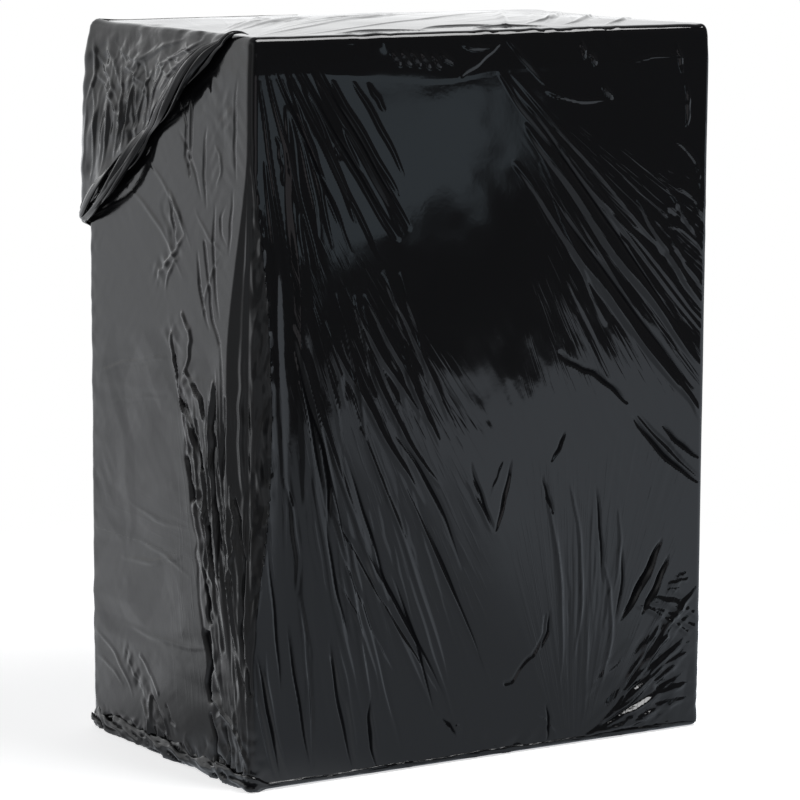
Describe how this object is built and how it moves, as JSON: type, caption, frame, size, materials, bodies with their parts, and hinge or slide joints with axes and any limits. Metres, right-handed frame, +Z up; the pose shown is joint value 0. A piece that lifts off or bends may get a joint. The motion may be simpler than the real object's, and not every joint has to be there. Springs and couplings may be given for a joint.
{
  "type": "stretch wrapped carton",
  "caption": "Tall sealed carton wrapped all over in black stretch film, with gathered folds, a film hood over the top and a twisted film rope down one narrow side.",
  "frame": {"origin": "centre of the underside of the carton, on the surface that it stands on", "axes": "+Z up, along the height; the wide front faces -Y, +X runs to the right along it, and the narrow side with the twisted film rope faces -X"},
  "size_m": [0.6981, 0.4228, 0.9089],
  "materials": {
    "black_film": "glossy black stretch film in several turns, with folds and creases"
  },
  "bodies": {
    "root": {"wrapped_carton": "black_film"}
  },
  "joints": []
}
